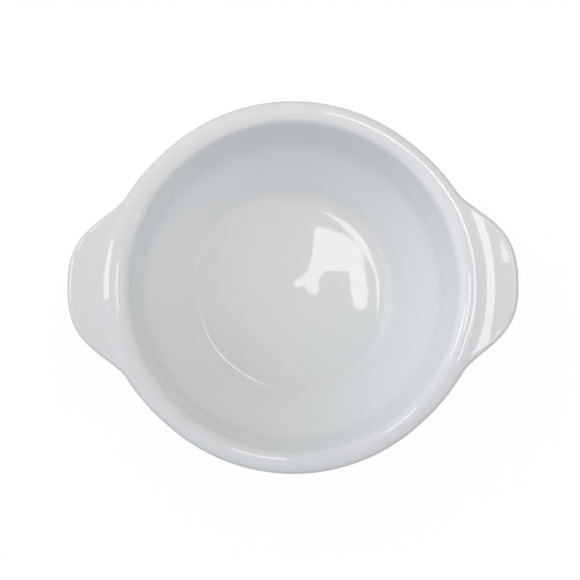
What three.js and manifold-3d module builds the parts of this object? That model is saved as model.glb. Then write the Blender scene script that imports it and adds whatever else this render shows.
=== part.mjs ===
// A bouillon cup: a round porcelain bowl on a foot ring, with a flat solid lug on each side of its rim.
// Millimetres, +Z up. The origin is the centre of the plane that the foot stands on, with the lugs along X.
// The fired cup is one body. These are the clay pieces that it is put together from, and the gap between
// a lug and the bowl is the film of slip that sticks the lug on.

import * as THREE from "three";
import { LoftGeometry } from "three/addons/geometries/LoftGeometry.js";
import { mergeVertices } from "three/addons/utils/BufferGeometryUtils.js";
import Module from "manifold-3d";

const wasm = await Module();
wasm.setup();

// Bowl, heights from the table upwards
const footHeight = 5;
const floorThickness = 4.8;
const lowerWallHeight = 17.4; // floor to the bend where the wall turns steep
const upperWallHeight = 24.8; // bend to the top of the rim

// Bowl, radii from the axis outwards
const wellDiameter = 68; // where the floor meets the wall
const lowerWallRun = 15.4; // how far the lower wall leans out
const upperWallRun = 3.8; // how far the upper wall leans out
const rimWidth = 6.8; // mouth to the rim's outer edge

// Bowl, thicknesses and rounds
const wallThickness = 4.4;
const rimEdgeHeight = 5.2;
const floorRise = 1.2; // how much higher the floor is at its middle
const wellRound = 5;
const bendRound = 8;
const mouthRound = 3;
const rimEdgeRound = 2;
const underRimRound = 2.4;
const seatRound = 1.5; // edge of the flat underside, outside the foot

// Foot ring
const footDiameter = 63;
const footWidth = 4.4;
const footDraft = 1; // how much each side leans out towards the bowl
const footRound = 1.2;

// Lugs
const lugReach = 12.4; // beyond the rim
const lugWidth = 44; // across the lug, half its reach from the rim
const lugSquareness = 3; // how suddenly the lug falls away at its sides, as a power
const lugThickness = 6.2;
const lugDrop = 0.4; // lug's top below the rim's
const lugTail = 0.6; // how far the lug still stands out of the rim where it ends
const lugEdgeRound = 1.9;
const lugGusset = 7; // hollow round under the lug
const slipJoint = 0.3;

// Fineness of the facets
const turnSteps = 72;
const arcSteps = 4;
const floorSteps = 6;
const lugSteps = 26;
const sideShare = 0.48; // most of a straight side that one round may take
const gussetSide = 2; // length of wall that the lug's hollow round is drawn against, in rounds

// What follows from these sizes
const floorTop = footHeight + floorThickness;
const cupHeight = floorTop + lowerWallHeight + upperWallHeight;
const well = point(wellDiameter / 2, floorTop);
const bend = point(well.x + lowerWallRun, floorTop + lowerWallHeight);
const mouth = point(bend.x + upperWallRun, cupHeight);
const rimRadius = mouth.x + rimWidth;
const lugTop = cupHeight - lugDrop;
const lugBottom = lugTop - lugThickness;
const lugHalfAngle = Math.asin(lugWidth / 2 / (rimRadius + lugReach / 2));

function point(r, z) {
  return new THREE.Vector2(r, z);
}

/** The line through two points, moved to its right by a distance. */
function parallel(from, to, distance) {
  const along = to.clone().sub(from).normalize();
  const right = point(along.y, -along.x);
  return { start: from.clone().addScaledVector(right, distance), along };
}

/** Where a line reaches a height. */
function atHeight({ start, along }, z) {
  return start.clone().addScaledVector(along, (z - start.y) / along.y);
}

/** Where two lines cross. */
function crossing(a, b) {
  const between = b.start.clone().sub(a.start);
  const share = between.cross(b.along) / a.along.cross(b.along);
  return a.start.clone().addScaledVector(a.along, share);
}

/** The arc that takes an outline round a corner, touching both sides, limited to its share of each side. */
function cornerArc(before, at, after, round) {
  const back = before.clone().sub(at);
  const on = after.clone().sub(at);
  const halfAngle = back.angleTo(on) / 2;
  const room = Math.min(back.length(), on.length()) * sideShare;
  const reach = Math.min(round / Math.tan(halfAngle), room);
  const radius = reach * Math.tan(halfAngle);
  back.normalize();
  on.normalize();
  const inward = back.clone().add(on).normalize();
  const centre = at.clone().addScaledVector(inward, radius / Math.sin(halfAngle));
  const from = at.clone().addScaledVector(back, reach).sub(centre).angle();
  const to = at.clone().addScaledVector(on, reach).sub(centre).angle();
  const arc = new THREE.EllipseCurve(centre.x, centre.y, radius, radius, from, to, back.cross(on) > 0);
  return arc.getPoints(arcSteps);
}

/** The points of an outline through corners given as [point, round], straight between their rounds. */
function roundedOutline(corners) {
  return corners.flatMap(([at, round], i) =>
    round ? cornerArc(corners[i - 1][0], at, corners[i + 1][0], round) : [at],
  );
}

/** An outline turned about the Z axis. */
function turned(outline) {
  return new THREE.LatheGeometry(outline, turnSteps).rotateX(Math.PI / 2);
}

/** A closed geometry as a solid that can be joined and cut. */
function solidOf(geometry) {
  const bare = new THREE.BufferGeometry();
  bare.setAttribute("position", geometry.getAttribute("position"));
  bare.setIndex(geometry.getIndex());
  const merged = mergeVertices(bare);
  const vertProperties = new Float32Array(merged.attributes.position.array);
  const triVerts = new Uint32Array(merged.index.array);
  return new wasm.Manifold(new wasm.Mesh({ numProp: 3, vertProperties, triVerts }));
}

/** A solid's surface as a geometry. */
function geometryOf(solid) {
  const { vertProperties, triVerts } = solid.getMesh();
  const geometry = new THREE.BufferGeometry();
  geometry.setAttribute("position", new THREE.BufferAttribute(vertProperties, 3));
  geometry.setIndex(new THREE.BufferAttribute(triVerts, 1));
  geometry.computeVertexNormals();
  return geometry;
}

/** The corners of the bowl's outside, from the underside's edge to the rim's top, grown by a gap. */
function outsideCorners(gap) {
  const lower = parallel(well, bend, wallThickness + gap);
  const upper = parallel(bend, mouth, wallThickness + gap);
  const underRim = cupHeight - rimEdgeHeight - gap;
  const edge = rimRadius + gap;
  return [
    [atHeight(lower, footHeight - gap), seatRound + gap],
    [crossing(lower, upper), bendRound + wallThickness + gap],
    [atHeight(upper, underRim), underRimRound],
    [point(edge, underRim), rimEdgeRound + gap],
    [point(edge, cupHeight + gap), rimEdgeRound + gap],
  ];
}

/** The bowl, turned from a section up its outside, over the rim and down its inside to a domed floor. */
function bowlGeometry() {
  const shell = roundedOutline([
    [point(0, footHeight)],
    ...outsideCorners(0),
    [mouth, mouthRound],
    [bend, bendRound],
    [well, wellRound],
    [point(0, floorTop)],
  ]);
  const floorEdge = shell.at(-2);
  const middle = point(0, floorTop + floorRise);
  const slope = point(floorEdge.x / 2, 0);
  const floor = new THREE.CubicBezierCurve(
    floorEdge,
    floorEdge.clone().sub(slope),
    middle.clone().add(slope),
    middle,
  );
  return turned([...shell.slice(0, -2), ...floor.getPoints(floorSteps)]);
}

/** Everything within the bowl's outside and a film of slip, which the lugs stay clear of. */
function bowlEnvelope() {
  const low = [point(0, footHeight - slipJoint)];
  const high = [point(0, cupHeight + slipJoint)];
  return solidOf(turned(roundedOutline([low, ...outsideCorners(slipJoint), high])));
}

/** The foot ring's section, flat on top where it joins the underside and flat below where it stands. */
function footRingGeometry() {
  const outer = footDiameter / 2;
  const inner = outer - footWidth;
  const innerTop = point(inner - footDraft, footHeight);
  const outerTop = point(outer + footDraft, footHeight);
  const section = roundedOutline([
    [innerTop],
    [point(inner, 0), footRound],
    [point(outer, 0), footRound],
    [outerTop],
    [innerTop],
  ]);
  return turned(section);
}

/** How much of a lug stands at an angle round the rim: all at its middle, half where its width is taken. */
function lugShare(angle) {
  return 2 ** -(Math.abs(angle / lugHalfAngle) ** lugSquareness);
}

/** A lug's section at an angle round the rim: flat above, round at its edge, hollow below by the wall. */
function lugSection(angle) {
  const share = lugShare(angle);
  const edge = rimRadius + lugReach * share;
  const under = THREE.MathUtils.lerp(cupHeight - rimEdgeHeight, lugBottom, share);
  const gusset = lugGusset * share;
  const wall = parallel(bend, mouth, wallThickness);
  const low = under - gussetSide * gusset;
  const section = roundedOutline([
    [point(bend.x, low)],
    [atHeight(wall, low)],
    [atHeight(wall, under), gusset],
    [point(edge, under), lugEdgeRound],
    [point(edge, lugTop), lugEdgeRound],
    [point(bend.x, lugTop)],
  ]);
  const outwards = (p) => new THREE.Vector3(p.x * Math.cos(angle), p.x * Math.sin(angle), p.y);
  return section.map(outwards);
}

/** A lug, carried round the rim as far as it stands out of it, and cut back to the bowl. */
function lugGeometry() {
  const end = lugHalfAngle * Math.log2(lugReach / lugTail) ** (1 / lugSquareness);
  const sections = [];
  for (let step = 0; step <= lugSteps; step++) {
    sections.push(lugSection(THREE.MathUtils.lerp(end, -end, step / lugSteps)));
  }
  const loft = new LoftGeometry(sections, { capStart: true, capEnd: true });
  return geometryOf(solidOf(loft).subtract(bowlEnvelope()));
}

function piece(name, geometry, colour, roughness) {
  const material = new THREE.MeshStandardMaterial({ color: colour, roughness, metalness: 0 });
  const mesh = new THREE.Mesh(geometry, material);
  mesh.name = name;
  return mesh;
}

const cup = new THREE.Group();
cup.name = "bouillon_cup";

const glazedWhite = "#e9ebed";
const glazeRoughness = 0.12;
const bareWhite = "#dcd8d0";
const bareRoughness = 0.6;
cup.add(piece("bowl", bowlGeometry(), glazedWhite, glazeRoughness));
cup.add(piece("foot_ring", footRingGeometry(), bareWhite, bareRoughness));

for (const [name, turn] of [["lug_right", 0], ["lug_left", Math.PI]]) {
  const lug = piece(name, lugGeometry(), glazedWhite, glazeRoughness);
  lug.rotation.z = turn;
  cup.add(lug);
}

export default cup;
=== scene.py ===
"""A bouillon cup of white glazed porcelain, seen almost straight from above.

The cup is a round bowl with a bend in its wall and a rolled rim, a solid lug at each side and a foot ring.
Its whole skin is one surface over two parameters: the angle round the cup, and the way along a section from
the middle of the floor, over the rim, down the outside and under the foot. The pieces are cut out of it.
Sizes are in millimetres until a mesh is made. Z is the cup's axis, and the lugs lie along X.
"""

import logging
from dataclasses import dataclass, field
from enum import Enum

import bpy
import numpy as np
from bpy.types import Material, Node, NodeSocket, NodeTree, Object
from mathutils import Matrix, Vector


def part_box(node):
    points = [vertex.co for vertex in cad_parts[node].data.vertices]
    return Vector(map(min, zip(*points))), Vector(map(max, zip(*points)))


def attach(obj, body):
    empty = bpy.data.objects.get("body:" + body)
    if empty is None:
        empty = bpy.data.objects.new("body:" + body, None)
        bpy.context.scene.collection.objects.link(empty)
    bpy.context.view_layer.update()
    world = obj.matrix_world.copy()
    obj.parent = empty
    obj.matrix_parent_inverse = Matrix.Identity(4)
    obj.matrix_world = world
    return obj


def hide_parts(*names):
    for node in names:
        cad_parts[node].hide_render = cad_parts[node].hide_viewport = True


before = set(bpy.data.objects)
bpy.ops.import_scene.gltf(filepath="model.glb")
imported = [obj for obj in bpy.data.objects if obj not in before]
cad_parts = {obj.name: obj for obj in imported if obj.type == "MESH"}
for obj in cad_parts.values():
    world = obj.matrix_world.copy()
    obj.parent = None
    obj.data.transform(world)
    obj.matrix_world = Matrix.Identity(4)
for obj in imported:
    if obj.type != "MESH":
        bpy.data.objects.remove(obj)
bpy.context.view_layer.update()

LOG = logging.getLogger("bouillon_cup")
MM = 0.001
BODY = "root"
PICTURE_SIDE = 580  # pixels along each side of the picture
SRGB_FULL = 255
SRGB_KNEE = 0.04045  # sRGB is a straight line below it, and a power above
SRGB_SLOPE = 12.92
SRGB_OFFSET = 0.055
SRGB_POWER = 2.4

Array = np.ndarray


class Side(Enum):
    """The side of the bowl that a lug is on, with the sign of its X."""

    RIGHT = 1
    LEFT = -1


class Slot(Enum):
    """The record's material slots."""

    GLAZE = "glaze"
    BISCUIT = "biscuit"


# Colours and nodes


def linear(hex_colour: str) -> tuple[float, float, float, float]:
    """Turn an sRGB hex colour into linear light.

    Args:
        hex_colour: the colour as "#rrggbb".

    Returns:
        Red, green, blue and full opacity.
    """
    srgb = np.array([int(hex_colour[place : place + 2], 16) for place in (1, 3, 5)]) / SRGB_FULL
    curved = ((srgb + SRGB_OFFSET) / (1 + SRGB_OFFSET)) ** SRGB_POWER
    light = np.where(srgb <= SRGB_KNEE, srgb / SRGB_SLOPE, curved)
    return (*light.tolist(), 1.0)


def per_metre(size: float) -> float:
    """Give a pattern's scale from the real size of one of its features in millimetres."""
    return 1 / (size * MM)


def feed(tree: NodeTree, node: Node, inputs: dict[str | int, object]) -> None:
    """Set a node's inputs.

    Args:
        tree: the node tree.
        node: the node.
        inputs: values or output sockets, by the name or number of the input that takes them.
    """
    for place, value in inputs.items():
        if isinstance(value, NodeSocket):
            tree.links.new(value, node.inputs[place])
        else:
            node.inputs[place].default_value = value


def add_node(tree: NodeTree, kind: str, inputs: dict | None = None, **settings: object) -> Node:
    """Add one node, with its settings and its inputs.

    Args:
        tree: the node tree.
        kind: the node's type, without the ShaderNode that all of them start with.
        inputs: what feeds its inputs.
        settings: the node's own properties.

    Returns:
        The node.
    """
    node = tree.nodes.new(f"ShaderNode{kind}")
    for name, value in settings.items():
        setattr(node, name, value)
    feed(tree, node, inputs or {})
    return node


def new_material(name: str, empty: bool = False) -> tuple[Material, NodeTree]:
    """Start a material made of nodes.

    Args:
        name: the material's name.
        empty: whether to leave out the shader that a new material has.

    Returns:
        The material and its node tree.
    """
    made = bpy.data.materials.new(name)
    made.use_nodes = True
    if empty:
        made.node_tree.nodes.clear()
    return made, made.node_tree


# Finishes


@dataclass(frozen=True)
class GlazedPorcelain:
    """Hard white hotel porcelain, dipped in clear glaze and fired glossy.

    The eye sees a nearly even cool white with very faint clouds, mirror-like lights with slightly wavering
    edges, and here and there a pinhole or a grey speck of iron.
    """

    name: str = "porcelain_glazed_glossy"
    pale: str = "#eef0f0"
    cool: str = "#e9edef"
    speck: str = "#b5b1ac"
    cloud: float = 34.0
    ripple: float = 11.0
    ripple_depth: float = 0.006
    ripple_detail: float = 1.0
    speck_spacing: float = 7.0
    speck_radius: float = 0.22
    speck_share: float = 0.035
    pin_depth: float = 0.012
    roughness: float = 0.025
    ior: float = 1.52

    def material(self) -> Material:
        """Make the glaze's material.

        Returns:
            The material, which reads Object coordinates.
        """
        made, tree = new_material(self.name)
        place = add_node(tree, "TexCoord").outputs["Object"]
        colour, height = self.skin(tree, place)
        bump = add_node(tree, "Bump", {"Height": height, "Distance": self.ripple_depth * MM})
        look = {"Base Color": colour, "Roughness": self.roughness, "IOR": self.ior}
        feed(tree, tree.nodes["Principled BSDF"], {**look, "Normal": bump.outputs[0]})
        return made

    def skin(self, tree: NodeTree, place: NodeSocket) -> tuple[NodeSocket, NodeSocket]:
        """Work out the glaze: two whites in soft clouds, specks in a few random cells, and ripples.

        Args:
            tree: the material's node tree.
            place: the Object coordinates.

        Returns:
            The colour, and the height in units of the ripples' depth.
        """
        cloud = add_node(tree, "TexNoise", {"Vector": place, "Scale": per_metre(self.cloud)})
        whites = {0: cloud.outputs[0], 6: linear(self.pale), 7: linear(self.cool)}
        tone = add_node(tree, "Mix", whites, data_type="RGBA")
        cells = add_node(tree, "TexVoronoi", {"Vector": place, "Scale": per_metre(self.speck_spacing)})
        reach = self.speck_radius / self.speck_spacing
        fade = {"Value": cells.outputs["Distance"], "From Min": reach, "From Max": reach / 2}
        dot = add_node(tree, "MapRange", fade)
        draw = add_node(tree, "SeparateColor", {"Color": cells.outputs["Color"]})
        lot = {0: draw.outputs["Red"], 1: self.speck_share}
        chosen = add_node(tree, "Math", lot, operation="LESS_THAN")
        pair = {0: dot.outputs[0], 1: chosen.outputs[0]}
        speck = add_node(tree, "Math", pair, operation="MULTIPLY").outputs[0]
        tones = {0: speck, 6: tone.outputs[2], 7: linear(self.speck)}
        colour = add_node(tree, "Mix", tones, data_type="RGBA")
        waves = {"Vector": place, "Scale": per_metre(self.ripple), "Detail": self.ripple_detail}
        ripple = add_node(tree, "TexNoise", waves)
        relief = {0: speck, 1: -self.pin_depth / self.ripple_depth, 2: ripple.outputs[0]}
        height = add_node(tree, "Math", relief, operation="MULTIPLY_ADD")
        return colour.outputs[2], height.outputs[0]


@dataclass(frozen=True)
class FootPorcelain(GlazedPorcelain):
    """The same porcelain, wiped clean of glaze and ground flat where it stands.

    The eye sees glossy white sides that end in a soft line, and below it a matt, slightly warm band with
    fine grit.
    """

    name: str = "porcelain_foot_ground"
    bare: str = "#d8d2c8"
    bare_height: float = 0.8
    line_width: float = 0.5
    line_waver: float = 0.25
    grit: float = 0.7  # real grit is near 0.1 mm, drawn coarser so that it shows
    bare_roughness: float = 0.62

    def material(self) -> Material:
        """Make the foot's material: bare below a slightly wavering height, glazed above it.

        Returns:
            The material, which reads Object coordinates.
        """
        made, tree = new_material(self.name)
        place = add_node(tree, "TexCoord").outputs["Object"]
        colour, height = self.skin(tree, place)
        level = add_node(tree, "SeparateXYZ", {0: place}).outputs["Z"]
        waver = add_node(tree, "TexNoise", {"Vector": place, "Scale": per_metre(self.ripple)})
        wavered = {0: waver.outputs[0], 1: self.line_waver * MM, 2: level}
        line = add_node(tree, "Math", wavered, operation="MULTIPLY_ADD")
        low, high = self.bare_height * MM, (self.bare_height + self.line_width) * MM
        band = {"Value": line.outputs[0], "From Min": low, "From Max": high}
        glazed = add_node(tree, "MapRange", band).outputs[0]
        grit = add_node(tree, "TexNoise", {"Vector": place, "Scale": per_metre(self.grit)})
        tones = {0: glazed, 6: linear(self.bare), 7: colour}
        both = add_node(tree, "Mix", tones, data_type="RGBA")
        rough = add_node(tree, "Mix", {0: glazed, 2: self.bare_roughness, 3: self.roughness})
        relief = add_node(tree, "Mix", {0: glazed, 2: grit.outputs[0], 3: height})
        bump = add_node(tree, "Bump", {"Height": relief.outputs[0], "Distance": self.ripple_depth * MM})
        look = {"Base Color": both.outputs[2], "Roughness": rough.outputs[0], "IOR": self.ior}
        feed(tree, tree.nodes["Principled BSDF"], {**look, "Normal": bump.outputs[0]})
        return made


@dataclass(frozen=True)
class PaleFloor:
    """A matt pale table top, lit to white for the eye, with the cup's soft shadow on it."""

    name: str = "floor_pale_matt"
    tone: str = "#c6beb4"
    white_share: float = 0.9
    white: float = 1.07

    def material(self) -> Material:
        """Make the floor's material: mostly white to camera, glossy and glass rays, and matt to the others.

        Returns:
            The material. Its back is clear, so that the cup shows from below.
        """
        made, tree = new_material(self.name, empty=True)
        path = add_node(tree, "LightPath").outputs
        seen = path["Is Camera Ray"]
        for kind in ("Is Glossy Ray", "Is Transmission Ray"):
            seen = add_node(tree, "Math", {0: seen, 1: path[kind]}, operation="MAXIMUM").outputs[0]
        share = add_node(tree, "Math", {0: seen, 1: self.white_share}, operation="MULTIPLY")
        matt = add_node(tree, "BsdfDiffuse", {"Color": linear(self.tone)})
        white = add_node(tree, "Emission", {"Strength": self.white})
        front = add_node(tree, "MixShader", {0: share.outputs[0], 1: matt.outputs[0], 2: white.outputs[0]})
        clear = add_node(tree, "BsdfTransparent")
        facing = add_node(tree, "NewGeometry").outputs["Backfacing"]
        both = add_node(tree, "MixShader", {0: facing, 1: front.outputs[0], 2: clear.outputs[0]})
        add_node(tree, "OutputMaterial", {"Surface": both.outputs[0]})
        return made


# Sections and grids


def rounded_line(corners: list[tuple[float, float, float]], steps: int = 48) -> Array:
    """Straight sides through corners, each corner replaced by the arc of its round that touches both sides.

    Args:
        corners: radius, height and round of each corner; the first and the last have no round.
        steps: points along each arc.

    Returns:
        The points of the line, one row each.
    """
    at = np.array(corners)[:, :2]
    turns = [at[:1]]
    for before, corner, after, size in zip(at, at[1:], at[2:], np.array(corners)[1:-1, 2]):
        back = (before - corner) / np.linalg.norm(before - corner)
        on = (after - corner) / np.linalg.norm(after - corner)
        half = np.arccos(np.clip(back @ on, -1, 1)) / 2
        inward = (back + on) / np.linalg.norm(back + on)
        centre = corner + inward * size / np.sin(half)
        start = corner + back * size / np.tan(half) - centre
        across = np.array([start[1], -start[0]])
        across *= np.sign(across @ on)
        angle = np.linspace(0, np.pi - 2 * half, steps)[:, None]
        turns.append(centre + start * np.cos(angle) + across * np.sin(angle))
    return np.concatenate([*turns, at[-1:]])


def lengths_along(line: Array) -> Array:
    """Give the length along a line at each of its points."""
    return np.concatenate([[0.0], np.cumsum(np.linalg.norm(np.diff(line, axis=0), axis=1))])


def points_at(line: Array, lengths: Array) -> Array:
    """Points of a line at lengths along it, straight between its own points.

    Args:
        line: the line's points.
        lengths: the lengths.

    Returns:
        The points, one row each.
    """
    along = lengths_along(line)
    return np.stack([np.interp(lengths, along, line[:, axis]) for axis in range(line.shape[1])], axis=1)


def softened(line: Array, width: float, step: float = 0.05, cut: float = 4.0) -> Array:
    """Smooth a line by a bell-shaped mean over its length, so that straight sides run softly into arcs.

    Args:
        line: the line's points.
        width: the bell's width in millimetres.
        step: spacing of the new points.
        cut: how many widths the bell reaches to each side.

    Returns:
        The smoothed line, without its two ends, where the bell doesn't fit.
    """
    even = points_at(line, np.arange(0, lengths_along(line)[-1], step))
    count = int(cut * width / step)
    bell = np.exp(-0.5 * (np.arange(-count, count + 1) * step / width) ** 2)
    bell /= bell.sum()
    return np.stack([np.convolve(even[:, axis], bell, mode="valid") for axis in range(2)], axis=1)


def thinned(line: Array, count: int, ease: float = 2.4, bend_weight: float = 9.0) -> Array:
    """Choose points along a line that lie closer together where it bends.

    Args:
        line: a dense line.
        count: how many points to keep, the two ends among them.
        ease: widest spacing on straight stretches, against bends.
        bend_weight: how strongly a bend draws points.

    Returns:
        The chosen points.
    """
    along = lengths_along(line)
    heading = np.unwrap(np.arctan2(np.gradient(line[:, 1], along), np.gradient(line[:, 0], along)))
    bend = np.abs(np.gradient(heading, along))
    weight = 1 / ease + bend_weight * bend / (1 + bend)
    total = np.concatenate([[0.0], np.cumsum((weight[1:] + weight[:-1]) / 2 * np.diff(along))])
    return points_at(line, np.interp(np.linspace(0, total[-1], count), total, along))


def smooth_step(share: Array) -> Array:
    """Rise smoothly from 0 to 1 while the share goes from 0 to 1."""
    share = np.clip(share, 0, 1)
    return share * share * (3 - 2 * share)


def grid_normals(points: Array, closed: bool) -> Array:
    """Normals of a grid: the cross product of its directions along the section and round the cup.

    Args:
        points: rows by columns by 3.
        closed: whether the last column runs on into the first.

    Returns:
        Unit normals, rows by columns by 3.
    """
    down = np.gradient(points, axis=0)
    if closed:
        around = np.roll(points, -1, axis=1) - np.roll(points, 1, axis=1)
    else:
        around = np.gradient(points, axis=1)
    normals = np.cross(down, around)
    return normals / np.maximum(np.linalg.norm(normals, axis=2, keepdims=True), np.finfo(float).tiny)


def grid_quads(index: Array, closed: bool = False) -> Array:
    """The quads of a grid of vertex numbers, facing the way of grid_normals.

    Args:
        index: vertex numbers, rows by columns.
        closed: whether the last column runs on into the first.

    Returns:
        Vertex numbers of each cell, rows by columns by 4.
    """
    beside = np.roll(index, -1, axis=1)
    cells = np.stack([index[:-1], index[1:], beside[1:], beside[:-1]], axis=2)
    return cells if closed else cells[:, :-1]


def numbered(grid: Array, first: int = 0) -> Array:
    """Number the points of a grid row by row, from a first number on."""
    rows, columns = grid.shape[:2]
    return first + np.arange(rows * columns).reshape(rows, columns)


def fan(pole: int, ring: Array) -> Array:
    """Triangles from a pole to a closed ring, facing the way that the ring turns."""
    return np.stack([np.full_like(ring, pole), ring, np.roll(ring, -1)], axis=1)


def add_mesh(name: str, points: Array, faces: list, finish: Material) -> Object:
    """Put a new mesh into the scene.

    Args:
        name: the object's name.
        points: its points, in millimetres.
        faces: point numbers of each face.
        finish: its material.

    Returns:
        The object, at the origin.
    """
    mesh = bpy.data.meshes.new(name)
    mesh.from_pydata((points * MM).tolist(), [], faces)
    mesh.materials.append(finish)
    made = bpy.data.objects.new(name, mesh)
    bpy.context.scene.collection.objects.link(made)
    return made


def make_piece(
    name: str, points: Array, normals: Array, quads: Array, triangles: Array, finish: Material
) -> Object:
    """Put a piece into a smooth mesh with its own normals, leaving out vertices that no face uses.

    Args:
        name: the piece's name.
        points: all points, in millimetres.
        normals: the normal at each point.
        quads: vertex numbers of the faces with four corners.
        triangles: vertex numbers of the faces with three.
        finish: the piece's material.

    Returns:
        The object, at the origin.
    """
    used, renamed = np.unique(np.concatenate([quads.ravel(), triangles.ravel()]), return_inverse=True)
    split = quads.size
    faces = renamed[:split].reshape(-1, 4).tolist() + renamed[split:].reshape(-1, 3).tolist()
    piece = add_mesh(name, points[used], faces, finish)
    piece.data.shade_smooth()
    piece.data.normals_split_custom_set_from_vertices(normals[used].tolist())
    return piece


def place_piece(piece: Object, node: str) -> None:
    """Fix a piece to the frame in place of a node of the frame, and report it.

    Args:
        piece: the piece.
        node: the node that it stands for.
    """
    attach(piece, BODY)
    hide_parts(node)
    LOG.info("%s: %d faces in place of %s", piece.name, len(piece.data.polygons), node)


# The cup's skin

# How many rows of points each stretch of the section has
ROW_COUNTS = dict(
    inside=62, crown=10, top=44, edge=12, side=3, low_edge=8,
    under=6, hollow=10, wall=5, outside=26, foot=36, underside=9,
)


@dataclass
class CupSkin:
    """The whole surface of the cup, from a few sizes of the frame and the forms of its section."""

    rim_edge: float
    height: float
    lug_end: float
    foot_height: float
    foot_top: float

    # Inside, from the floor to the mouth
    floor_level: float = 9.8
    floor_sag: float = 1.0  # how much lower the floor is at its edge than in its middle
    well_radius: float = 34.0
    well_round: float = 6.0
    bend_radius: float = 49.4
    bend_level: float = 27.2
    bend_round: float = 12.0
    mouth_radius: float = 53.1
    mouth_round: float = 2.0
    wall: float = 4.4
    softness: float = 0.6  # width over which sides and rounds are smoothed into each other

    # Rim
    crown_start: float = 54.95
    crown_slope: float = 0.48
    crown_power: float = 1.12  # how the crown's slope dies away towards its crest
    crest_radius: float = 57.0
    edge_round: float = 0.8
    lug_edge_round: float = 1.3
    rim_depth: float = 5.2
    under_round: float = 1.4
    under_hollow: float = 1.2

    # Lugs
    lug_half_angle: float = 18.6
    lug_squareness: float = 3.2
    right_turn: float = 0.95  # how far each lug sits towards the far side, in degrees
    left_turn: float = 0.2
    tail_reach: float = 2.4
    tail_angle: float = 52.0
    kink: float = 0.15  # softness of the outline where a lobe and its tail meet
    lug_blend: float = 0.8  # reach over which the rim's form turns into the lug's
    crest_shift: float = 1.2  # how much further out the crest lies on a lug
    # The slopes of a lug's top: millimetres beyond the crest, and the fall per millimetre there
    lug_slopes: tuple[tuple[float, float], ...] = (
        *((0.0, 0.0), (0.1, 0.0125), (0.5, 0.0125), (0.8, 0.11), (1.15, 0.135), (2.0, 0.135)),
        *((2.5, 0.1), (4.0, 0.0085), (6.2, 0.0085), (7.0, -0.022), (13.0, -0.027)),
    )
    slope_step: float = 0.02  # spacing at which the slopes are added up
    top_ease: float = 1.35  # how much closer the rows lie by the crest
    lug_thickness: float = 6.4
    lug_under_round: float = 1.9
    hollow_share: float = 0.85  # most of the ledge's width that the hollow takes
    lug_hollow: float = 7.0
    joint_start: float = 30.0  # how fast the hidden joint goes below the surface at its borders
    joint_spread: float = 6.0  # how fast it then turns towards the rim's middle
    seam_angle: float = 28.0  # from a lug's middle to the seam at its end

    # Outside and foot
    seat_round: float = 1.5
    wall_foot_level: float = 33.0
    overlap: float = 1.0  # how far above the wall's foot the lower section starts
    foot_draft: float = 1.0
    foot_width: float = 4.4
    foot_round: float = 1.2
    foot_hollow: float = 0.9

    # Fineness
    columns: int = 480
    column_samples: int = 20  # trial angles for each column
    lug_density: float = 2.2
    sample_step: float = 0.05  # spacing of a section's points before they are thinned
    foot_samples: int = 400
    underside_samples: int = 40
    pole_radius: float = 0.4

    angles: Array = field(init=False)
    points: Array = field(init=False)
    normals: Array = field(init=False)
    rows: dict[str, int] = field(init=False)

    def __post_init__(self) -> None:
        """Work out the grid: angles, points, normals and the row numbers where pieces part."""
        self.angles = self.column_angles()
        radius, level, self.rows = self.sections()
        flat = radius[..., None] * np.stack([np.cos(self.angles), np.sin(self.angles)], axis=1)
        self.points = np.concatenate([flat, level[..., None]], axis=2)
        self.normals = grid_normals(self.points, closed=True)

    @classmethod
    def from_frame(cls) -> "CupSkin":
        """Take the driving sizes from the boxes of the frame's nodes."""
        (_, bowl), (_, lug), (_, foot) = (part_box(node) for node in ("bowl", "lug_right", "foot_ring"))
        return cls(bowl[0] / MM, bowl[2] / MM, lug[0] / MM, foot[2] / MM, foot[0] / MM)

    def off_lug(self, angles: Array) -> Array:
        """Degrees from each angle to the middle of the nearer lug."""
        right = np.degrees(np.angle(np.exp(1j * (angles - np.radians(self.right_turn)))))
        left = np.degrees(np.angle(-np.exp(1j * (angles + np.radians(self.left_turn)))))
        return np.minimum(np.abs(right), np.abs(left))

    def column_angles(self) -> Array:
        """Angles of the columns from the near side round, closer together at the lugs.

        Returns:
            Radians from -90 degrees up, without the last one, which is the first again.
        """
        fine = np.linspace(-np.pi / 2, 3 * np.pi / 2, self.column_samples * self.columns + 1)
        weight = 1 + self.lug_density * smooth_step(2 - self.off_lug(fine) / self.seam_angle)
        total = np.concatenate([[0.0], np.cumsum((weight[1:] + weight[:-1]) / 2)])
        return np.interp(np.linspace(0, total[-1], self.columns, endpoint=False), total, fine)

    def reach(self, angles: Array) -> Array:
        """How far the outline stands out of the plain rim.

        A lobe halves at its half angle, and falls away by a power of the angle. A low tail runs on from it
        along the rim. The larger of the two counts, with a soft kink where they cross.

        Args:
            angles: radians round the cup.

        Returns:
            Millimetres beyond the rim's edge.
        """
        off = self.off_lug(angles)
        lobe = (self.lug_end - self.rim_edge) * 0.5 ** (off / self.lug_half_angle) ** self.lug_squareness
        tail = self.tail_reach * smooth_step(1 - off / self.tail_angle)
        return self.kink * np.log(np.exp(lobe / self.kink) + np.exp(tail / self.kink) - 1)

    def wall_line(self, level: Array | float) -> Array | float:
        """Radius of the steep outer wall at a level: the inner wall's line moved out by the thickness."""
        lean = (self.mouth_radius - self.bend_radius) / (self.height - self.bend_level)
        return self.bend_radius + self.wall * np.hypot(1, lean) + lean * (level - self.bend_level)

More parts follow.
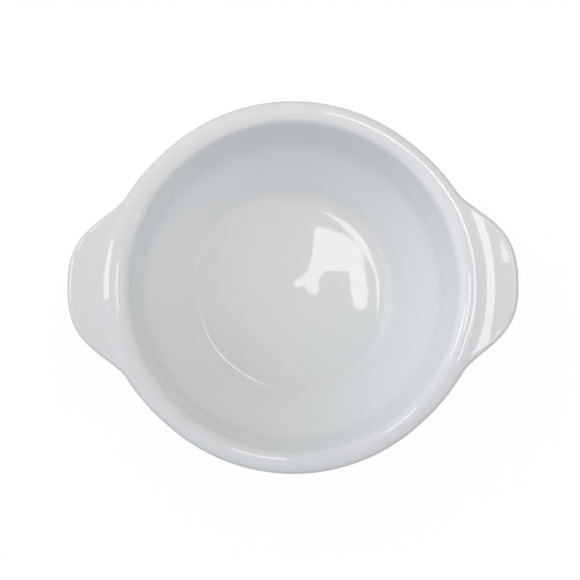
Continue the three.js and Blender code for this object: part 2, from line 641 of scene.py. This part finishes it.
    def inside_line(self) -> Array:
        """The section from the floor's middle to where the rim's crown starts, smoothed.

        Straight sides with rounds, plus a dome on the floor that falls by the square of the radius.

        Returns:
            Points of radius and level from just off the axis outwards.
        """
        rise = self.crown_slope / (self.crown_power + 1)
        crown = self.height - rise * (self.crest_shift + self.crest_radius - self.crown_start)
        back = self.crown_slope * (self.crown_start - self.mouth_radius)
        on = self.crown_slope * self.rim_depth
        line = rounded_line(
            [
                (-self.well_radius / 2, self.floor_level, 0),
                (self.well_radius, self.floor_level, self.well_round),
                (self.bend_radius, self.bend_level, self.bend_round),
                (self.mouth_radius, crown - back, self.mouth_round),
                (self.crown_start + self.rim_depth, crown + on, 0),
            ]
        )
        line = softened(line, self.softness)
        flat = self.well_radius - self.well_round / 2
        line[:, 1] += self.floor_sag * (1 - np.clip(np.abs(line[:, 0]) / flat, 0, 1) ** 2)
        line = softened(line, self.softness)
        kept = (line[:, 0] > self.pole_radius) & (line[:, 0] < self.crown_start)
        end = np.array([[self.crown_start, crown]])
        return np.concatenate([thinned(line[kept], ROW_COUNTS["inside"]), end])

    def lug_fall(self, beyond: Array) -> Array:
        """How far a lug's top has fallen below the crest: the sum of its slopes up to a distance beyond it.

        The top dips behind the crest, runs level for a while and rises a little towards the tip.

        Args:
            beyond: millimetres outwards from the crest.

        Returns:
            Millimetres below the crest.
        """
        places, slopes = np.array(self.lug_slopes).T
        fine = np.arange(0, self.lug_end - self.crest_radius, self.slope_step)
        slope = np.interp(fine, places, slopes)
        fall = np.cumsum(slope) * self.slope_step - slope * self.slope_step / 2
        return np.interp(beyond, fine, fall)

    def sections(self) -> tuple[Array, Array, dict[str, int]]:
        """The section at every column, as blocks of rows from the floor's middle to the underside's.

        Returns:
            Radius and level, rows by columns, and the first row of each named block.
        """
        reach = self.reach(self.angles)
        edge = self.rim_edge + reach
        slant = np.sqrt(1 + (np.gradient(reach, self.angles) / edge) ** 2)
        share = 1 - np.exp(-reach / self.lug_blend)
        inside = self.inside_line()
        start, crown = inside[-1]
        crest = self.crest_radius + self.crest_shift * share
        rise = self.crown_slope * (crest - start) / (self.crown_power + 1)
        top = crown + rise
        roll = self.edge_round + share * (self.lug_edge_round - self.edge_round)
        under = self.height - self.rim_depth + share * (self.rim_depth - self.lug_thickness)
        low_round = self.under_round + share * (self.lug_under_round - self.under_round)
        hollow = self.under_hollow + share * (self.lug_hollow - self.under_hollow)

        def steps(stretch: str) -> Array:
            """Even shares from just after 0 up to 1, as a column with a stretch's rows."""
            return np.linspace(0, 1, ROW_COUNTS[stretch] + 1)[1:, None]

        def top_at(radius: Array) -> Array:
            """Level of the top beyond the crest: a parabola on the plain rim, mixed with a lug's fall."""
            beyond = radius - crest
            curve = (self.crest_radius - self.crown_start) / self.crown_slope
            plain = beyond**2 / (2 * curve)
            return top - ((1 - share) * plain + share * self.lug_fall(beyond))

        wide = np.ones_like(edge)
        blocks: dict[str, tuple[Array, Array]] = {}
        blocks["inside"] = (inside[:, :1] * wide, inside[:, 1:] * wide)

        part = steps("crown")
        radius = start + (crest - start) * part
        level = crown + rise * (1 - (1 - part) ** (self.crown_power + 1))
        blocks["crown"] = (radius, level)

        radius = crest + (edge - roll * slant - crest) * steps("top") ** self.top_ease
        blocks["top"] = (radius, top_at(radius))

        turn = steps("edge") * np.pi / 2
        radius = edge - roll * slant * (1 - np.sin(turn))
        blocks["edge"] = (radius, top_at(radius) - roll * (1 - np.cos(turn)))

        upper = top_at(edge) - roll
        level = upper + (under + low_round - upper) * steps("side")
        blocks["side"] = (edge * np.ones_like(level), level)

        turn = steps("low_edge") * np.pi / 2
        radius = edge - low_round * slant * (1 - np.cos(turn))
        blocks["low_edge"] = (radius, under + low_round * (1 - np.sin(turn)))

        corner = self.wall_line(under)
        ledge = edge - low_round * slant
        first = corner + np.minimum(hollow, (ledge - corner) * self.hollow_share)
        radius = ledge + (first - ledge) * steps("under")
        blocks["under"] = (radius, under * np.ones_like(radius))

        part = steps("hollow")
        foot = under - hollow
        radius = (1 - part) ** 2 * first + 2 * part * (1 - part) * corner + part**2 * self.wall_line(foot)
        level = (1 - part**2) * under + part**2 * foot
        blocks["hollow"] = (radius, level)

        level = foot + (self.wall_foot_level - foot) * steps("wall")
        blocks["wall"] = (self.wall_line(level), level)

        for name, line in self.below_lines().items():
            blocks[name] = (line[:, :1] * wide, line[:, 1:] * wide)
        first_rows = np.cumsum([0, *(len(block[0]) for block in blocks.values())])
        rows = dict(zip(blocks, first_rows.tolist()))
        radius, level = (np.concatenate([block[part] for block in blocks.values()]) for part in (0, 1))
        return radius, level, rows

    def below_lines(self) -> dict[str, Array]:
        """The section below the lugs: the outer bend and lower wall, the foot, and the underside within it.

        Returns:
            Points of radius and level of each stretch; each starts after the end of the one before.
        """
        slope = (self.bend_radius - self.well_radius) / (self.bend_level - self.floor_level)
        shift = self.wall * np.hypot(1, slope)
        lean = (self.mouth_radius - self.bend_radius) / (self.height - self.bend_level)
        steep = self.wall_line(self.bend_level)
        meet = self.bend_level + (steep - self.bend_radius - shift) / (slope - lean)
        base = self.well_radius + shift - slope * (self.floor_level - self.foot_height)
        inner = self.foot_top - 2 * self.foot_draft - self.foot_width
        start = self.wall_foot_level + self.overlap
        line = rounded_line(
            [
                (self.wall_line(start), start, 0),
                (self.wall_line(meet), meet, self.bend_round + self.wall),
                (base, self.foot_height, self.seat_round),
                (self.foot_top, self.foot_height, self.foot_hollow),
                (self.foot_top - self.foot_draft, 0, self.foot_round),
                (inner + self.foot_draft, 0, self.foot_round),
                (inner, self.foot_height, self.foot_hollow),
                (self.pole_radius, self.foot_height, 0),
            ]
        )
        along = lengths_along(line)
        lowered = line[:, 1] < self.foot_height - np.finfo(float).eps ** 0.5
        base_edge = np.argmax((np.abs(line[:, 0] - base) < self.seat_round) & ~lowered)
        foot = np.flatnonzero(lowered & (np.arange(len(line)) > base_edge))
        before, after = along[foot[0] - 1], along[foot[-1] + 1]
        places = {
            "outside": np.arange(self.overlap, before, self.sample_step),
            "foot": np.linspace(before, after, self.foot_samples),
            "underside": np.linspace(after, along[-1], self.underside_samples),
        }
        lines = {name: thinned(points_at(line, place), ROW_COUNTS[name]) for name, place in places.items()}
        lines["underside"] = lines["underside"][1:]
        return lines

    def lug_columns(self, side: Side) -> slice:
        """Columns of a lug, from seam to seam."""
        near = self.off_lug(self.angles) <= self.seam_angle
        found = np.flatnonzero(near & (np.sign(np.cos(self.angles)) == side.value))
        return slice(found[0], found[-1] + 1)

    def lug_rows(self) -> slice:
        """Rows of a lug, from the rim's crest to the end of the hollow below."""
        return slice(self.rows["top"] - 1, self.rows["wall"])

    def lug_back(self, side: Side, depth: float) -> Array:
        """The hidden joint between a lug and the bowl.

        The plain rim at the two seams is carried across between them, so that it meets the four borders.
        Then it is drawn in towards the middle of the rim, less and less towards the borders, and kept behind
        the lug's own surface.

        Args:
            side: the lug's side.
            depth: the share of the way to the rim's middle.

        Returns:
            Points of the joint, with the lug's rows and columns.
        """
        where = self.lug_rows(), self.lug_columns(side)
        patch, facing = self.points[where], self.normals[where]
        angle = np.arctan2(patch[..., 1], patch[..., 0])
        flat = np.stack([np.hypot(patch[..., 0], patch[..., 1]), patch[..., 2]], axis=2)
        down = np.linspace(0, 1, flat.shape[0])[:, None, None]
        across = np.linspace(0, 1, flat.shape[1])[None, :, None]
        ruled = flat[:, :1] * (1 - across) + flat[:, -1:] * across
        ends = flat[:1] * (1 - down) + flat[-1:] * down
        corners = ends[:, :1] * (1 - across) + ends[:, -1:] * across
        joint = ruled + ends - corners
        middle_level = np.clip(joint[..., 1], self.wall_foot_level, self.height - self.rim_depth / 2)
        middle = np.stack([self.wall_line(middle_level) - self.wall / 2, middle_level], axis=2)
        border = np.minimum(np.minimum(down, 1 - down), np.minimum(across, 1 - across))
        spread = smooth_step(border * self.joint_spread)
        joint += (middle - joint) * depth * spread
        turn = np.stack([np.cos(angle), np.sin(angle)], axis=2)
        joint = np.concatenate([joint[..., :1] * turn, joint[..., 1:]], axis=2)
        inset = depth * smooth_step(border * self.joint_start)
        behind = patch - facing * inset
        joint = behind + (joint - behind) * spread
        proud = np.sum((joint - patch) * facing, axis=2, keepdims=True) + inset
        return joint - facing * np.maximum(proud, 0)


# The pieces


@dataclass
class Bowl:
    """The jiggered bowl: the skin without the lugs and the foot, closed behind them."""

    skin: CupSkin
    finish: Material
    name: str = "porcelain_bowl"
    joint_depth: float = 0.5
    seat_depth: float = 0.6
    seat_inset: float = 0.4

    def build(self) -> None:
        """Make the bowl and put it in its place."""
        skin = self.skin
        index = numbered(skin.points)
        cells = grid_quads(index, closed=True)
        shown = np.ones(cells.shape[:2], bool)
        points = [skin.points.reshape(-1, 3)]
        normals = [skin.normals.reshape(-1, 3)]
        quads = []
        total = index.size
        for side in Side:
            across, down = skin.lug_columns(side), skin.lug_rows()
            shown[down.start : down.stop - 1, across.start : across.stop - 1] = False
            joint = skin.lug_back(side, self.joint_depth)
            patch = index[down, across].copy()
            inner = joint[1:-1, 1:-1]
            patch[1:-1, 1:-1] = numbered(inner, total)
            total += inner[..., 0].size
            points.append(inner.reshape(-1, 3))
            normals.append(grid_normals(joint, closed=False)[1:-1, 1:-1].reshape(-1, 3))
            quads.append(grid_quads(patch).reshape(-1, 4))
        first, last = skin.rows["foot"], skin.rows["underside"] - 1
        shown[first:last] = False
        seat = skin.points[[first, last]].copy()
        inset = np.array([-self.seat_inset, self.seat_inset])[:, None, None]
        seat[..., :2] *= 1 + inset / np.linalg.norm(seat[..., :2], axis=2, keepdims=True)
        seat[..., 2] += self.seat_depth
        ring = numbered(seat, total)
        total += ring.size
        points.append(seat.reshape(-1, 3))
        normals.append(np.tile([0.0, 0.0, -1.0], (ring.size, 1)))
        groove = np.stack([index[first], *ring, index[last]])
        quads.append(grid_quads(groove, closed=True).reshape(-1, 4))
        quads.append(cells[shown])
        points.append(np.array([[0, 0, skin.points[0, 0, 2]], [0, 0, skin.points[-1, 0, 2]]]))
        normals.append(np.array([[0, 0, 1.0], [0, 0, -1.0]]))
        triangles = np.concatenate([fan(total, index[0]), fan(total + 1, index[-1][::-1])])
        parts = (np.concatenate(part) for part in (points, normals, quads))
        piece = make_piece(self.name, *parts, triangles, self.finish)
        place_piece(piece, "bowl")


@dataclass
class Lug:
    """A solid lug, pressed by itself and stuck on: the skin between its seams, and its hidden back."""

    skin: CupSkin
    finish: Material
    side: Side
    joint_depth: float = 0.35

    def build(self) -> None:
        """Make the lug and put it in its place."""
        skin, word = self.skin, self.side.name.lower()
        down, across = skin.lug_rows(), skin.lug_columns(self.side)
        face, face_normals = skin.points[down, across], skin.normals[down, across]
        joint = skin.lug_back(self.side, self.joint_depth)
        inner = joint[1:-1, 1:-1]
        front = numbered(face)
        back = front.copy()
        back[1:-1, 1:-1] = numbered(inner, front.size)
        back_normals = -grid_normals(joint, closed=False)[1:-1, 1:-1]
        quads = [grid_quads(front).reshape(-1, 4), grid_quads(back).reshape(-1, 4)[:, ::-1]]
        piece = make_piece(
            f"porcelain_lug_{word}",
            np.concatenate([face.reshape(-1, 3), inner.reshape(-1, 3)]),
            np.concatenate([face_normals.reshape(-1, 3), back_normals.reshape(-1, 3)]),
            np.concatenate(quads),
            np.empty((0, 3), int),
            self.finish,
        )
        place_piece(piece, f"lug_{word}")


@dataclass
class FootRing:
    """The foot ring, with hollow rounds by the underside, let into the bowl by a shallow seat."""

    skin: CupSkin
    finish: Material
    name: str = "porcelain_foot_ring"
    seat_depth: float = 0.5
    seat_inset: float = 0.5

    def build(self) -> None:
        """Make the foot ring and put it in its place."""
        skin = self.skin
        face = slice(skin.rows["foot"], skin.rows["underside"])
        points, normals = skin.points[face], skin.normals[face]
        top = points[[-1, 0]].copy()
        inset = np.array([self.seat_inset, -self.seat_inset])[:, None, None]
        top[..., :2] *= 1 + inset / np.linalg.norm(top[..., :2], axis=2, keepdims=True)
        top[..., 2] += self.seat_depth
        whole = np.concatenate([points, top])
        index = numbered(whole)
        loop = np.concatenate([index, index[:1]])
        top_normals = np.tile([0.0, 0.0, 1.0], (top[..., 0].size, 1))
        piece = make_piece(
            self.name,
            whole.reshape(-1, 3),
            np.concatenate([normals.reshape(-1, 3), top_normals]),
            grid_quads(loop, closed=True).reshape(-1, 4),
            np.empty((0, 3), int),
            self.finish,
        )
        place_piece(piece, "foot_ring")


# Studio


@dataclass(frozen=True)
class Glow:
    """A broad soft light in the surroundings, brightest in one direction and fading to its sides."""

    towards: tuple[float, float, float]
    colour: str
    strength: float
    narrowness: float = 6.0


@dataclass(frozen=True)
class Panel:
    """A flat bright card, hung level and facing down, whose mirror image is a light in the glaze."""

    name: str
    corners: tuple[tuple[float, ...], ...]
    light: float = 4.7
    height: float = 2000.0
    matt_light: bool = True  # whether it also lights the porcelain's own white

    def outline(self) -> Array:
        """Give the card's corners."""
        return np.array(self.corners, dtype=float)


@dataclass(frozen=True)
class Glint(Panel):
    """A small bright card low beside a lug, that shows as a glint on the lug's edge."""

    light: float = 6.0
    height: float = 70.0
    matt_light: bool = False


@dataclass(frozen=True)
class Strip(Panel):
    """A bright strip bent round the cup's axis, low over the rim, that shows as a thin line of light in it.

    Its corners are stations: an angle in degrees, the radius of the strip's middle there, and its width.
    """

    height: float = 60.0
    matt_light: bool = False
    steps: int = 40

    def outline(self) -> Array:
        """Give the strip's edges, one after the other, even in angle and radius between the stations."""
        angles, middles, widths = np.array(self.corners, dtype=float).T
        along = np.linspace(angles[0], angles[-1], self.steps)
        middle = np.interp(along, angles, middles)
        half = np.interp(along, angles, widths) / 2
        turns = np.radians(np.concatenate([along, along[::-1]]))
        radii = np.concatenate([middle - half, (middle + half)[::-1]])
        return np.stack([radii * np.cos(turns), radii * np.sin(turns)], axis=1)


@dataclass
class Studio:
    """The floor, the broad lights, a near lamp, a black flag and the bright cards that the glaze mirrors."""

    floor_half: float = 4000.0
    white: str = "#ffffff"
    even: float = 0.107  # the light from all sides alike
    glows: tuple[Glow, ...] = (
        Glow((-0.82, 0.0, 0.57), "#f4f6ff", 1.3),
        Glow((0.75, 0.0, 0.66), "#ebf5ff", 0.44),
        Glow((-0.6, 0.6, 0.53), "#e2f0ff", 0.67),
        Glow((0.6, -0.6, 0.53), "#f6f6ff", 0.64),
        Glow((0.0, -0.75, 0.66), "#f2f8ff", 0.22),
    )
    lamp_at: tuple[float, float, float] = (0.0, 105.0, 300.0)
    lamp_radius: float = 80.0
    lamp_power: float = 0.96
    lamp_colour: str = "#fff1e1"
    flag_height: float = 150.0
    flag_radii: tuple[float, float] = (26.0, 46.0)
    flag_angles: tuple[float, float] = (186.0, 262.0)
    flag_steps: int = 20
    flag_colour: str = "#000000"
    flag_roughness: float = 1.0
    panels: tuple[Panel, ...] = (
        Panel(
            "main_panel",
            (
                *((172, 418), (220, 403), (275, 380), (312, 350), (340, 318), (350, 296), (374, 140)),
                *((367, 70), (345, 55), (312, 65), (297, 131), (293, 214), (283, 222), (192, 222)),
                *((158, 185), (167, 146), (155, 127), (122, 123), (98, 163), (72, 150), (57, 160)),
                *((57, 187), (85, 195), (115, 222), (135, 295), (142, 365), (147, 400), (158, 413)),
            ),
        ),
        Panel("far_panel", ((225, 450), (290, 565), (135, 620), (105, 485))),
        Panel(
            "left_panel",
            ((-800, 92), (-600, 92), (-615, 160), (-660, 235), (-715, 300), (-738, 355), (-765, 385)),
        ),
        Panel(
            "lug_card",
            (
                *((73.5, -10), (72.5, -16.5), (71.5, -19.5), (77, -25), (81, -28), (86.5, -29.5)),
                *((83, -25), (79, -21), (75.5, -17), (76.5, -14.5), (77, -10)),
            ),
            height=150.0,
            matt_light=False,
        ),
        Strip(
            "crest_strip",
            (
                *((-25, 57.5, 1.4), (-18, 57.5, 1.4), (-12, 58, 1.3), (-5, 58.9, 1.2), (10, 59.6, 1.1)),
                *((24, 59.2, 1.2), (33, 59.5, 1.6), (54, 58.9, 2.4), (63, 58.2, 1.9), (79, 58.5, 1.5)),
            ),
            light=5.4,
        ),
        Strip("crown_strip", ((-14.5, 52.8, 1.4), (-4.5, 53.9, 1.4), (3.5, 54.5, 1.4)), light=5.0),
        Strip("mouth_strip", ((-24, 44.5, 5), (-14, 48, 2.8), (-5.5, 50, 1.8)), light=6.0),
        Strip("left_strip", ((171, 53.2, 2), (179, 53.4, 2), (187, 52.7, 2)), light=5.4),
        Strip("near_strip", ((-111.5, 48.7, 3.3), (-103.5, 48.2, 4.3), (-93, 47.4, 4.9)), light=5.0),
        Strip("right_strip", ((-59, 47.2, 4.7), (-51, 47.1, 5), (-44, 47.3, 4.7)), light=4.6),
        Strip(
            "far_glint",
            ((6.4, 70.7, 1), (7.8, 70.4, 2.7), (10, 70.5, 2.1), (12.5, 70.2, 0.4)),
            light=3.8,
            height=70.0,
        ),
        Glint("edge_glint_far", ((-64, 26.5), (-72, 34), (-75, 29.5), (-67.5, 21.5))),
        Glint("edge_glint_middle", ((-68.5, 19.5), (-80.5, 26.5), (-83, 22), (-71, 15))),
        Glint("edge_glint_near", ((-74, 12), (-84.5, 15), (-86.5, -3), (-75.5, -2.5))),
    )

    def build(self) -> None:
        """Make the whole studio."""
        self.lay_floor()
        self.light_surroundings()
        self.hang_lamp()
        self.hang_flag()
        for panel in self.panels:
            self.hang_panel(panel)

    def lay_floor(self) -> None:
        """Lay the floor under the foot."""
        points = np.array([(-1, -1, 0), (1, -1, 0), (1, 1, 0), (-1, 1, 0)]) * self.floor_half
        floor = add_mesh("floor", points, [(0, 1, 2, 3)], PaleFloor().material())

    def light_surroundings(self) -> None:
        """Light the cup from all round by the sum of the glows, and show white behind it to camera rays.

        A glow's share in a direction is the cosine of the angle to its own, raised to its narrowness.
        """
        world = bpy.data.worlds.new("surroundings")
        world.use_nodes = True
        tree = world.node_tree
        tree.nodes.clear()
        towards = add_node(tree, "TexCoord").outputs["Generated"]
        light = add_node(tree, "Background", {"Color": linear(self.white), "Strength": self.even})
        for glow in self.glows:
            pair = {0: towards, 1: glow.towards}
            cosine = add_node(tree, "VectorMath", pair, operation="DOT_PRODUCT")
            level = cosine.outputs["Value"]
            for value, kind in ((0.0, "MAXIMUM"), (glow.narrowness, "POWER"), (glow.strength, "MULTIPLY")):
                level = add_node(tree, "Math", {0: level, 1: value}, operation=kind).outputs[0]
            one = add_node(tree, "Background", {"Color": linear(glow.colour), "Strength": level})
            light = add_node(tree, "AddShader", {0: light.outputs[0], 1: one.outputs[0]})
        white = add_node(tree, "Background", {"Color": linear(self.white)})
        seen = add_node(tree, "LightPath").outputs["Is Camera Ray"]
        both = add_node(tree, "MixShader", {0: seen, 1: light.outputs[0], 2: white.outputs[0]})
        add_node(tree, "OutputWorld", {"Surface": both.outputs[0]})
        bpy.context.scene.world = world

    def hang_lamp(self) -> None:
        """Hang the near lamp over the far side. Its light falls off across the cup, and mirrors miss it."""
        light = bpy.data.lights.new("near_lamp", "POINT")
        light.energy = self.lamp_power
        light.color = linear(self.lamp_colour)[:3]
        light.shadow_soft_size = self.lamp_radius * MM
        lamp = bpy.data.objects.new("near_lamp", light)
        lamp.location = Vector(self.lamp_at) * MM
        lamp.visible_camera = False
        lamp.visible_glossy = False
        bpy.context.scene.collection.objects.link(lamp)

    def hang_flag(self) -> None:
        """Hang a small black card over the near left, bent round the axis, that only the glaze mirrors."""
        made, tree = new_material("flag")
        look = {"Base Color": linear(self.flag_colour), "Roughness": self.flag_roughness}
        feed(tree, tree.nodes["Principled BSDF"], look)
        angles = np.radians(np.linspace(*self.flag_angles, self.flag_steps))
        ring = np.stack([np.cos(angles), np.sin(angles)], axis=1)
        flat = np.concatenate([ring * radius for radius in self.flag_radii])
        faces = grid_quads(np.arange(len(flat)).reshape(2, -1)).reshape(-1, 4).tolist()
        flag = add_mesh("flag", np.insert(flat, 2, self.flag_height, axis=1), faces, made)
        flag.visible_camera = False
        flag.visible_diffuse = False
        flag.visible_shadow = False
        flag.visible_transmission = False

    def hang_panel(self, panel: Panel) -> None:
        """Hang one bright card, which the camera doesn't see.

        Args:
            panel: its name, outline, height and light.
        """
        made, tree = new_material(panel.name, empty=True)
        glow = add_node(tree, "Emission", {"Strength": panel.light})
        add_node(tree, "OutputMaterial", {"Surface": glow.outputs[0]})
        points = np.insert(panel.outline(), 2, panel.height, axis=1)
        card = add_mesh(panel.name, points, [range(len(points))], made)
        card.visible_camera = False
        card.visible_shadow = False
        card.visible_diffuse = panel.matt_light


@dataclass
class Viewpoint:
    """The camera, above the cup, leaning a little to the near side and to the left."""

    lean_right: float = -0.0215
    lean_far: float = -0.067
    turn: float = -0.7
    distance: float = 600.0
    aim_level: float = 50.0
    pixels_per_mm: float = 3.114
    aim_pixel: tuple[float, float] = (293.5, 286.3)
    sensor: float = 36.0
    nearest: float = 0.01

    def build(self) -> None:
        """Make the camera and set it as the scene's.

        The lens makes a millimetre at the aim as many pixels as it should be. The shift puts the aim on its
        pixel.
        """
        lens = bpy.data.cameras.new("camera")
        lens.sensor_width = self.sensor
        lens.lens = self.pixels_per_mm * self.distance / PICTURE_SIDE * self.sensor
        middle = PICTURE_SIDE / 2
        lens.shift_x = (middle - self.aim_pixel[0]) / PICTURE_SIDE
        lens.shift_y = (self.aim_pixel[1] - middle) / PICTURE_SIDE
        lens.clip_start = self.nearest
        back = Vector((self.lean_right, self.lean_far, 1)).normalized()
        right = Vector((0, 1, 0)).cross(back).normalized()
        axes = Matrix((right, back.cross(right), back)).transposed().to_4x4()
        spin = Matrix.Rotation(np.radians(self.turn), 4, "Z")
        aim = Vector((0, 0, self.aim_level)) * MM
        camera = bpy.data.objects.new("camera", lens)
        out = Matrix.Translation(back * self.distance * MM)
        camera.matrix_world = Matrix.Translation(aim) @ spin @ out @ axes
        bpy.context.scene.collection.objects.link(camera)
        bpy.context.scene.camera = camera


def main() -> None:
    """Build the cup, the studio and the camera, in that order."""
    logging.basicConfig(level=logging.INFO, format="%(name)s: %(message)s")
    bpy.context.scene.view_settings.view_transform = "Standard"
    glaze = GlazedPorcelain().material()
    foot_finish = FootPorcelain().material()
    skin = CupSkin.from_frame()
    Bowl(skin, glaze).build()
    for side in Side:
        Lug(skin, glaze, side).build()
    FootRing(skin, foot_finish).build()
    Studio().build()
    Viewpoint().build()


if __name__ == "__main__":
    main()
